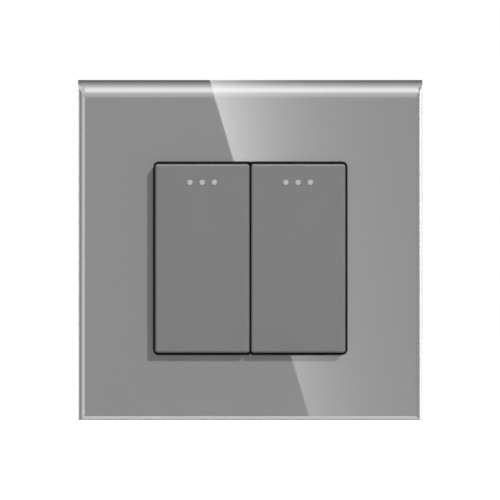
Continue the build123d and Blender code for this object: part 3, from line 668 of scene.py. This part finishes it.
left_middle = (panel_low.x + SIDE_ROLL, glass_face + SIDE_ROLL, aim_z)
right_middle = (panel_high.x - SIDE_ROLL, glass_face + SIDE_ROLL, aim_z)
bent_board("top_board", UP, top_middle, TOP_ROLL, TOP_DISTANCE, ACROSS_REACH, top_steps)
bent_board("bottom_board", DOWN, bottom_middle, BOTTOM_ROLL, BOTTOM_DISTANCE, ACROSS_REACH,
           bottom_steps)
bent_board("left_board", LEFT, left_middle, SIDE_ROLL, SIDE_DISTANCE, SIDE_REACH, left_steps)
bent_board("right_board", RIGHT, right_middle, SIDE_ROLL, SIDE_DISTANCE, SIDE_REACH, right_steps)
print("4 boards round the edges of the glass")

# %% The board far above
OVERHEAD_DISTANCE, OVERHEAD_REACH = 1.3, 0.45
# the rockers' upper edges catch the same light from a large board, which the glass doesn't see,
# and which adds to the white sky behind it
overhead_steps = [(angle, max(glow - SKY_SEEN, 0.0)) for angle, glow in top_steps]
bent_board("overhead_veil", UP, top_middle, TOP_ROLL, OVERHEAD_DISTANCE, OVERHEAD_REACH,
           overhead_steps, veil_light, all_but_glass)
print("1 board overhead, for all but the glass")

# %% [markdown]
# ## The slanted light
#
# Across the right half of the glass lies a wedge of light, brightest along its slanted left edge.
# It is the reflection of a tall board that stands in front of the switch, turned a little, and lit
# from its left. Painted on the glass it would be there from every side, so it is a reflection here
# too. A mirror shows each point of the board at one point of the glass, so the board is laid out on
# the glass first, in millimetres, and then carried out along the mirrored sight lines. Over the
# rolled top edge those lines fan upwards, and there a bent veil carries the wedge on.


# %% Where the wedge lies on the glass
EDGE_X, EDGE_TOP, EDGE_SLOPE = -9.5, 42.5, -0.295
# the wedge adds WEDGE_GLOW along this steeper line, more to its left and less to its right
BRIGHT_X, BRIGHT_SLOPE = -0.725, -0.13
WEDGE_GLOW, HALVING_MM = 7.2, 10.0


def wedge_edge(z):
    """Where the wedge's left edge crosses the glass at height z, in millimetres."""
    return EDGE_X + EDGE_SLOPE * (z - EDGE_TOP)


def wedge_glow(x, z):
    """What the wedge adds at a point of the glass: it halves every 10 mm to the right."""
    past_bright = x - (BRIGHT_X + BRIGHT_SLOPE * z)
    return WEDGE_GLOW * 2 ** (-past_bright / HALVING_MM)


def fanned(place, aim, distance):
    """Where the sight line that meets the glass at a place arrives after the given distance."""
    return aim + (place * MM - aim) * (1 + distance / camera_distance)


edge_ends = [round(wedge_edge(z / MM), 1) for z in (panel_high.z, panel_low.z)]
print("the wedge's left edge runs from x =", edge_ends[0], "mm at the top to", edge_ends[1])

# %% Wedge board and its veil
# millimetres to the right of the wedge's left edge, closer together where it is bright
columns = [0, 0.7, 1.7, 3.3, 5.3, 8, 11, 15, 20, 25, 32, 40, 55, 75, 105]
WEDGE_DISTANCE, WEDGE_HALF, WEDGE_STEPS = 0.5, 50.0, 24
BASE_GLOW = 1.15  # a little more than the white sky that the board hides
VEIL_DISTANCE = 13 * MM
# how far the sight line is turned, and the share of the wedge's light that is left there
veil_shares = [
    (1.1, 1.0), (5, 0.95), (11, 0.8), (17, 0.85), (22, 0.87), (28, 0.82), (34, 0.68), (46, 0.35),
    (59, 0.42), (66, 0.5), (73, 0.78), (80, 0.85), (88, 0.75), (96, 0.72), (105, 0.62),
    (115, 0.52), (133, 0.5)]
for i in range(len(columns) - 1):
    flat, bent = [], []
    for step in range(WEDGE_STEPS + 1):
        z = WEDGE_HALF * (1 - 2 * step / WEDGE_STEPS)
        ends = [wedge_edge(z) + column for column in columns[i:i + 2]]
        height = fanned(z, aim_z, WEDGE_DISTANCE)
        depth = glass_face - WEDGE_DISTANCE
        spots = [(fanned(x, aim_x, WEDGE_DISTANCE), depth, height) for x in ends]
        flat.append((*spots, *[BASE_GLOW + wedge_glow(x, z) for x in ends]))
    board(f"wedge_board_{i}", flat)
    for angle, share in veil_shares:
        z = (roll_start + TOP_ROLL * sin(radians(angle / 2))) / MM
        ends = [wedge_edge(z) + column for column in columns[i:i + 2]]
        spot = turned_spot(angle, UP, top_middle, TOP_ROLL, VEIL_DISTANCE)
        spots = [(fanned(x, aim_x, VEIL_DISTANCE), spot.y, spot.z) for x in ends]
        bent.append((*spots, *[share * wedge_glow(x, z) for x in ends]))
    board(f"wedge_veil_{i}", bent, veil_light)
print("wedge of light in", len(columns) - 1, "strips, and its veil above")

# %% [markdown]
# ## Sizes and the end
#
# The dressed model must stay as large as the construction model, so the construction model's box is
# written down.

# %% The construction model's size
print("cad", [tuple(c) for c in cad_box])
